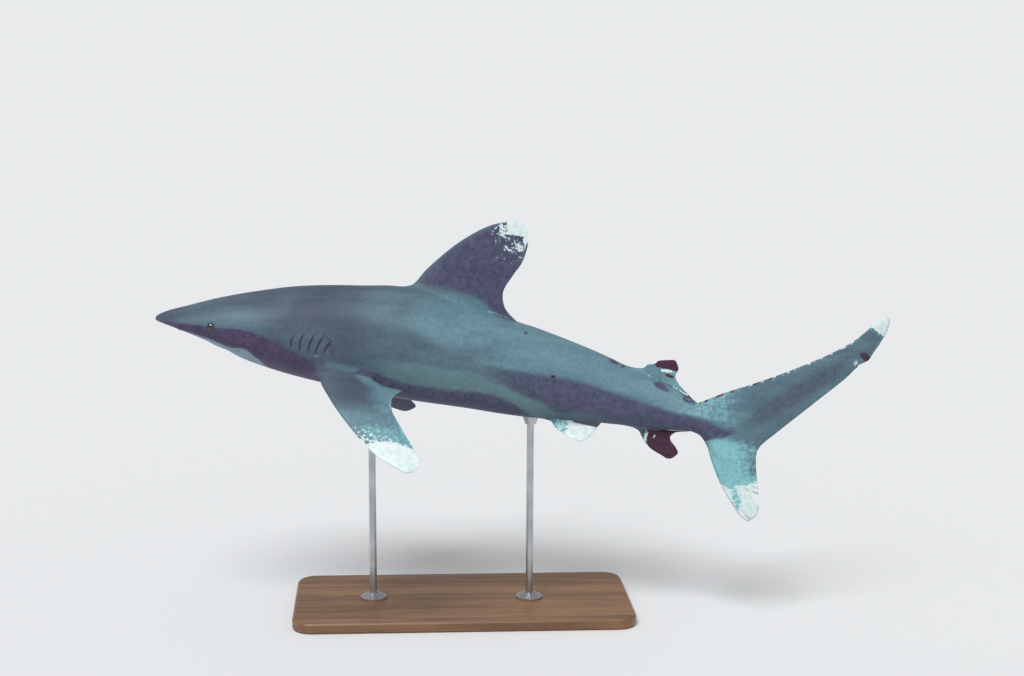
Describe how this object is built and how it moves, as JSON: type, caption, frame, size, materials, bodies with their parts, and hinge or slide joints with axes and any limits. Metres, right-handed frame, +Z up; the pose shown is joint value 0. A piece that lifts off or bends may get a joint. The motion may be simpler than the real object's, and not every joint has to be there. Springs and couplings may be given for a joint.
{
  "type": "oceanic whitetip shark museum model",
  "caption": "Still, life-size model of an oceanic whitetip shark, swimming with its tail swept to its left, held over a flat base by short rods.",
  "frame": {"origin": "middle of the stand's underside, on the floor", "axes": "+X from the shark's snout toward its tail, +Y toward its right side, +Z up"},
  "size_m": [1.6006, 0.5828, 0.8826],
  "materials": {
    "skin": "fine matt hide with faint mottling, blue-grey above, with a dusky flank and a paler belly",
    "fin_skin": "fine matt hide, blue-grey at the root and mottled white at the rounded tips",
    "black_fin_skin": "fine matt hide, black-marked as on a young animal",
    "eye": "glossy dark eye with a pale iris rim",
    "stand_wood": "satin-varnished brown wood",
    "stand_steel": "fine brushed"
  },
  "bodies": {
    "root": {"head": "skin", "lower_jaw": "skin", "trunk": "skin", "tail_stock": "skin", "caudal_fin": "fin_skin", "dorsal_fin_first": "fin_skin", "dorsal_fin_second": "black_fin_skin", "anal_fin": "black_fin_skin", "pectoral_fin_left": "fin_skin", "pectoral_fin_right": "fin_skin", "pelvic_fin_left": "fin_skin", "pelvic_fin_right": "fin_skin", "eye_left": "eye", "eye_right": "eye", "stand_base": "stand_wood", "stand_rod_front": "stand_steel", "stand_rod_rear": "stand_steel", "stand_collar_front": "stand_steel", "stand_collar_rear": "stand_steel", "stand_cup_front": "stand_steel", "stand_cup_rear": "stand_steel"}
  },
  "joints": []
}
